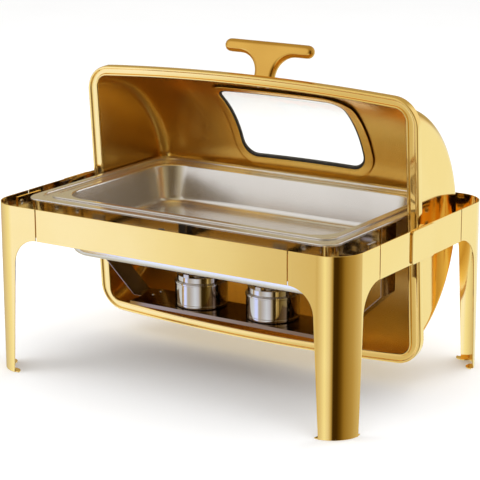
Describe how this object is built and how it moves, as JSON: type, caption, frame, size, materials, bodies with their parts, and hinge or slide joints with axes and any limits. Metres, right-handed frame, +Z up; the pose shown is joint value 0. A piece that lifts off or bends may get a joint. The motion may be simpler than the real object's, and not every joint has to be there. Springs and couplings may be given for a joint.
{
  "type": "roll top chafer",
  "caption": "Food warmer on an arched four-legged stand: a windowed barrel lid swings behind a food pan set in a water pan, over a fuel shelf.",
  "frame": {"origin": "middle of the footprint, on the surface that the legs stand on", "axes": "+X along the long side to the right, +Y to the back, +Z up"},
  "size_m": [0.666, 0.462, 0.5208],
  "materials": {
    "gold_polished": "gold-plated mirror polish",
    "gold_satin": "gold-plated satin",
    "steel_satin": "satin",
    "steel_polished": "polished",
    "window_glass": "clear",
    "rubber_black": "matt",
    "nylon_white": "matt"
  },
  "bodies": {
    "stand": {"leg_front_right": "gold_polished", "leg_front_left": "gold_polished", "leg_rear_right": "gold_polished", "leg_rear_left": "gold_polished", "rail_front": "gold_polished", "rail_rear": "gold_polished", "rail_right": "gold_polished", "rail_left": "gold_polished", "joint_plate_front_right": "gold_polished", "joint_plate_front_left": "gold_polished", "joint_plate_rear_right": "gold_polished", "joint_plate_rear_left": "gold_polished", "joint_plate_side_rear_right": "gold_polished", "joint_plate_side_rear_left": "gold_polished", "joint_plate_side_front_right": "gold_polished", "joint_plate_side_front_left": "gold_polished", "joint_screws": "steel_polished", "pivot_cover_right": "gold_polished", "pivot_cover_left": "gold_polished", "pivot_bracket_right": "steel_polished", "pivot_bracket_left": "steel_polished", "stop_pin_right": "steel_polished", "stop_pin_left": "steel_polished", "pivot_pin_right": "steel_polished", "pivot_pin_left": "steel_polished", "pivot_nut_right": "steel_polished", "pivot_nut_left": "steel_polished", "pivot_washers": "nylon_white", "pan_carrier": "steel_satin", "carrier_apron": "steel_polished", "carrier_arm_front_right": "steel_polished", "carrier_arm_front_left": "steel_polished", "carrier_arm_side_right": "steel_polished", "carrier_arm_side_left": "steel_polished", "lid_rest": "steel_polished", "lid_rest_bumper": "rubber_black", "fuel_shelf": "steel_polished", "shelf_hanger_right": "steel_polished", "shelf_hanger_left": "steel_polished", "shelf_rivets": "steel_polished"},
    "lid": {"lid_shell": "gold_polished", "lid_end_right": "gold_polished", "lid_end_left": "gold_polished", "lid_rim": "gold_polished", "window_bezel": "gold_polished", "window_gasket": "rubber_black", "window_glass": "window_glass", "window_retainer": "gold_satin", "lid_handle": "gold_polished", "handle_screws": "steel_polished", "lid_hinge_right": "gold_polished", "lid_hinge_left": "gold_polished", "hinge_rivets": "steel_polished"},
    "water_pan": {"water_pan": "steel_satin"},
    "food_pan": {"food_pan": "steel_satin"},
    "fuel_cup_right": {"fuel_cup_right": "steel_polished"},
    "fuel_cup_left": {"fuel_cup_left": "steel_polished"},
    "fuel_cover_right": {"fuel_cover_right": "steel_polished"},
    "fuel_cover_left": {"fuel_cover_left": "steel_polished"},
    "fuel_damper_right": {"fuel_damper_right": "steel_polished"},
    "fuel_damper_left": {"fuel_damper_left": "steel_polished"}
  },
  "joints": [
    {"name": "lid_hinge", "type": "hinge", "parent": "stand", "child": "lid", "pos_m": [0, 0, 0.25204], "axis": [1, 0, 0], "range_deg": [0, 86]},
    {"name": "water_pan_lift", "type": "slide", "parent": "stand", "child": "water_pan", "axis": [0, 0, 1], "range_m": [0, 0.012]},
    {"name": "food_pan_lift", "type": "slide", "parent": "water_pan", "child": "food_pan", "axis": [0, 0, 1], "range_m": [0, 0.05]},
    {"name": "fuel_cup_left_slide", "type": "slide", "parent": "stand", "child": "fuel_cup_left", "axis": [0, -1, 0], "range_m": [0, 0.2]},
    {"name": "fuel_cover_left_lift", "type": "slide", "parent": "fuel_cup_left", "child": "fuel_cover_left", "axis": [0, 0, 1], "range_m": [0, 0.024]},
    {"name": "fuel_damper_left_swivel", "type": "hinge", "parent": "fuel_cover_left", "child": "fuel_damper_left", "pos_m": [-0.069, 0.0251, 0.149], "axis": [0, 0, -1], "range_deg": [0, 100]},
    {"name": "fuel_cup_right_slide", "type": "slide", "parent": "stand", "child": "fuel_cup_right", "axis": [0, -1, 0], "range_m": [0, 0.2]},
    {"name": "fuel_cover_right_lift", "type": "slide", "parent": "fuel_cup_right", "child": "fuel_cover_right", "axis": [0, 0, 1], "range_m": [0, 0.024]},
    {"name": "fuel_damper_right_swivel", "type": "hinge", "parent": "fuel_cover_right", "child": "fuel_damper_right", "pos_m": [0.069, 0.0251, 0.149], "axis": [0, 0, 1], "range_deg": [0, 100]}
  ]
}
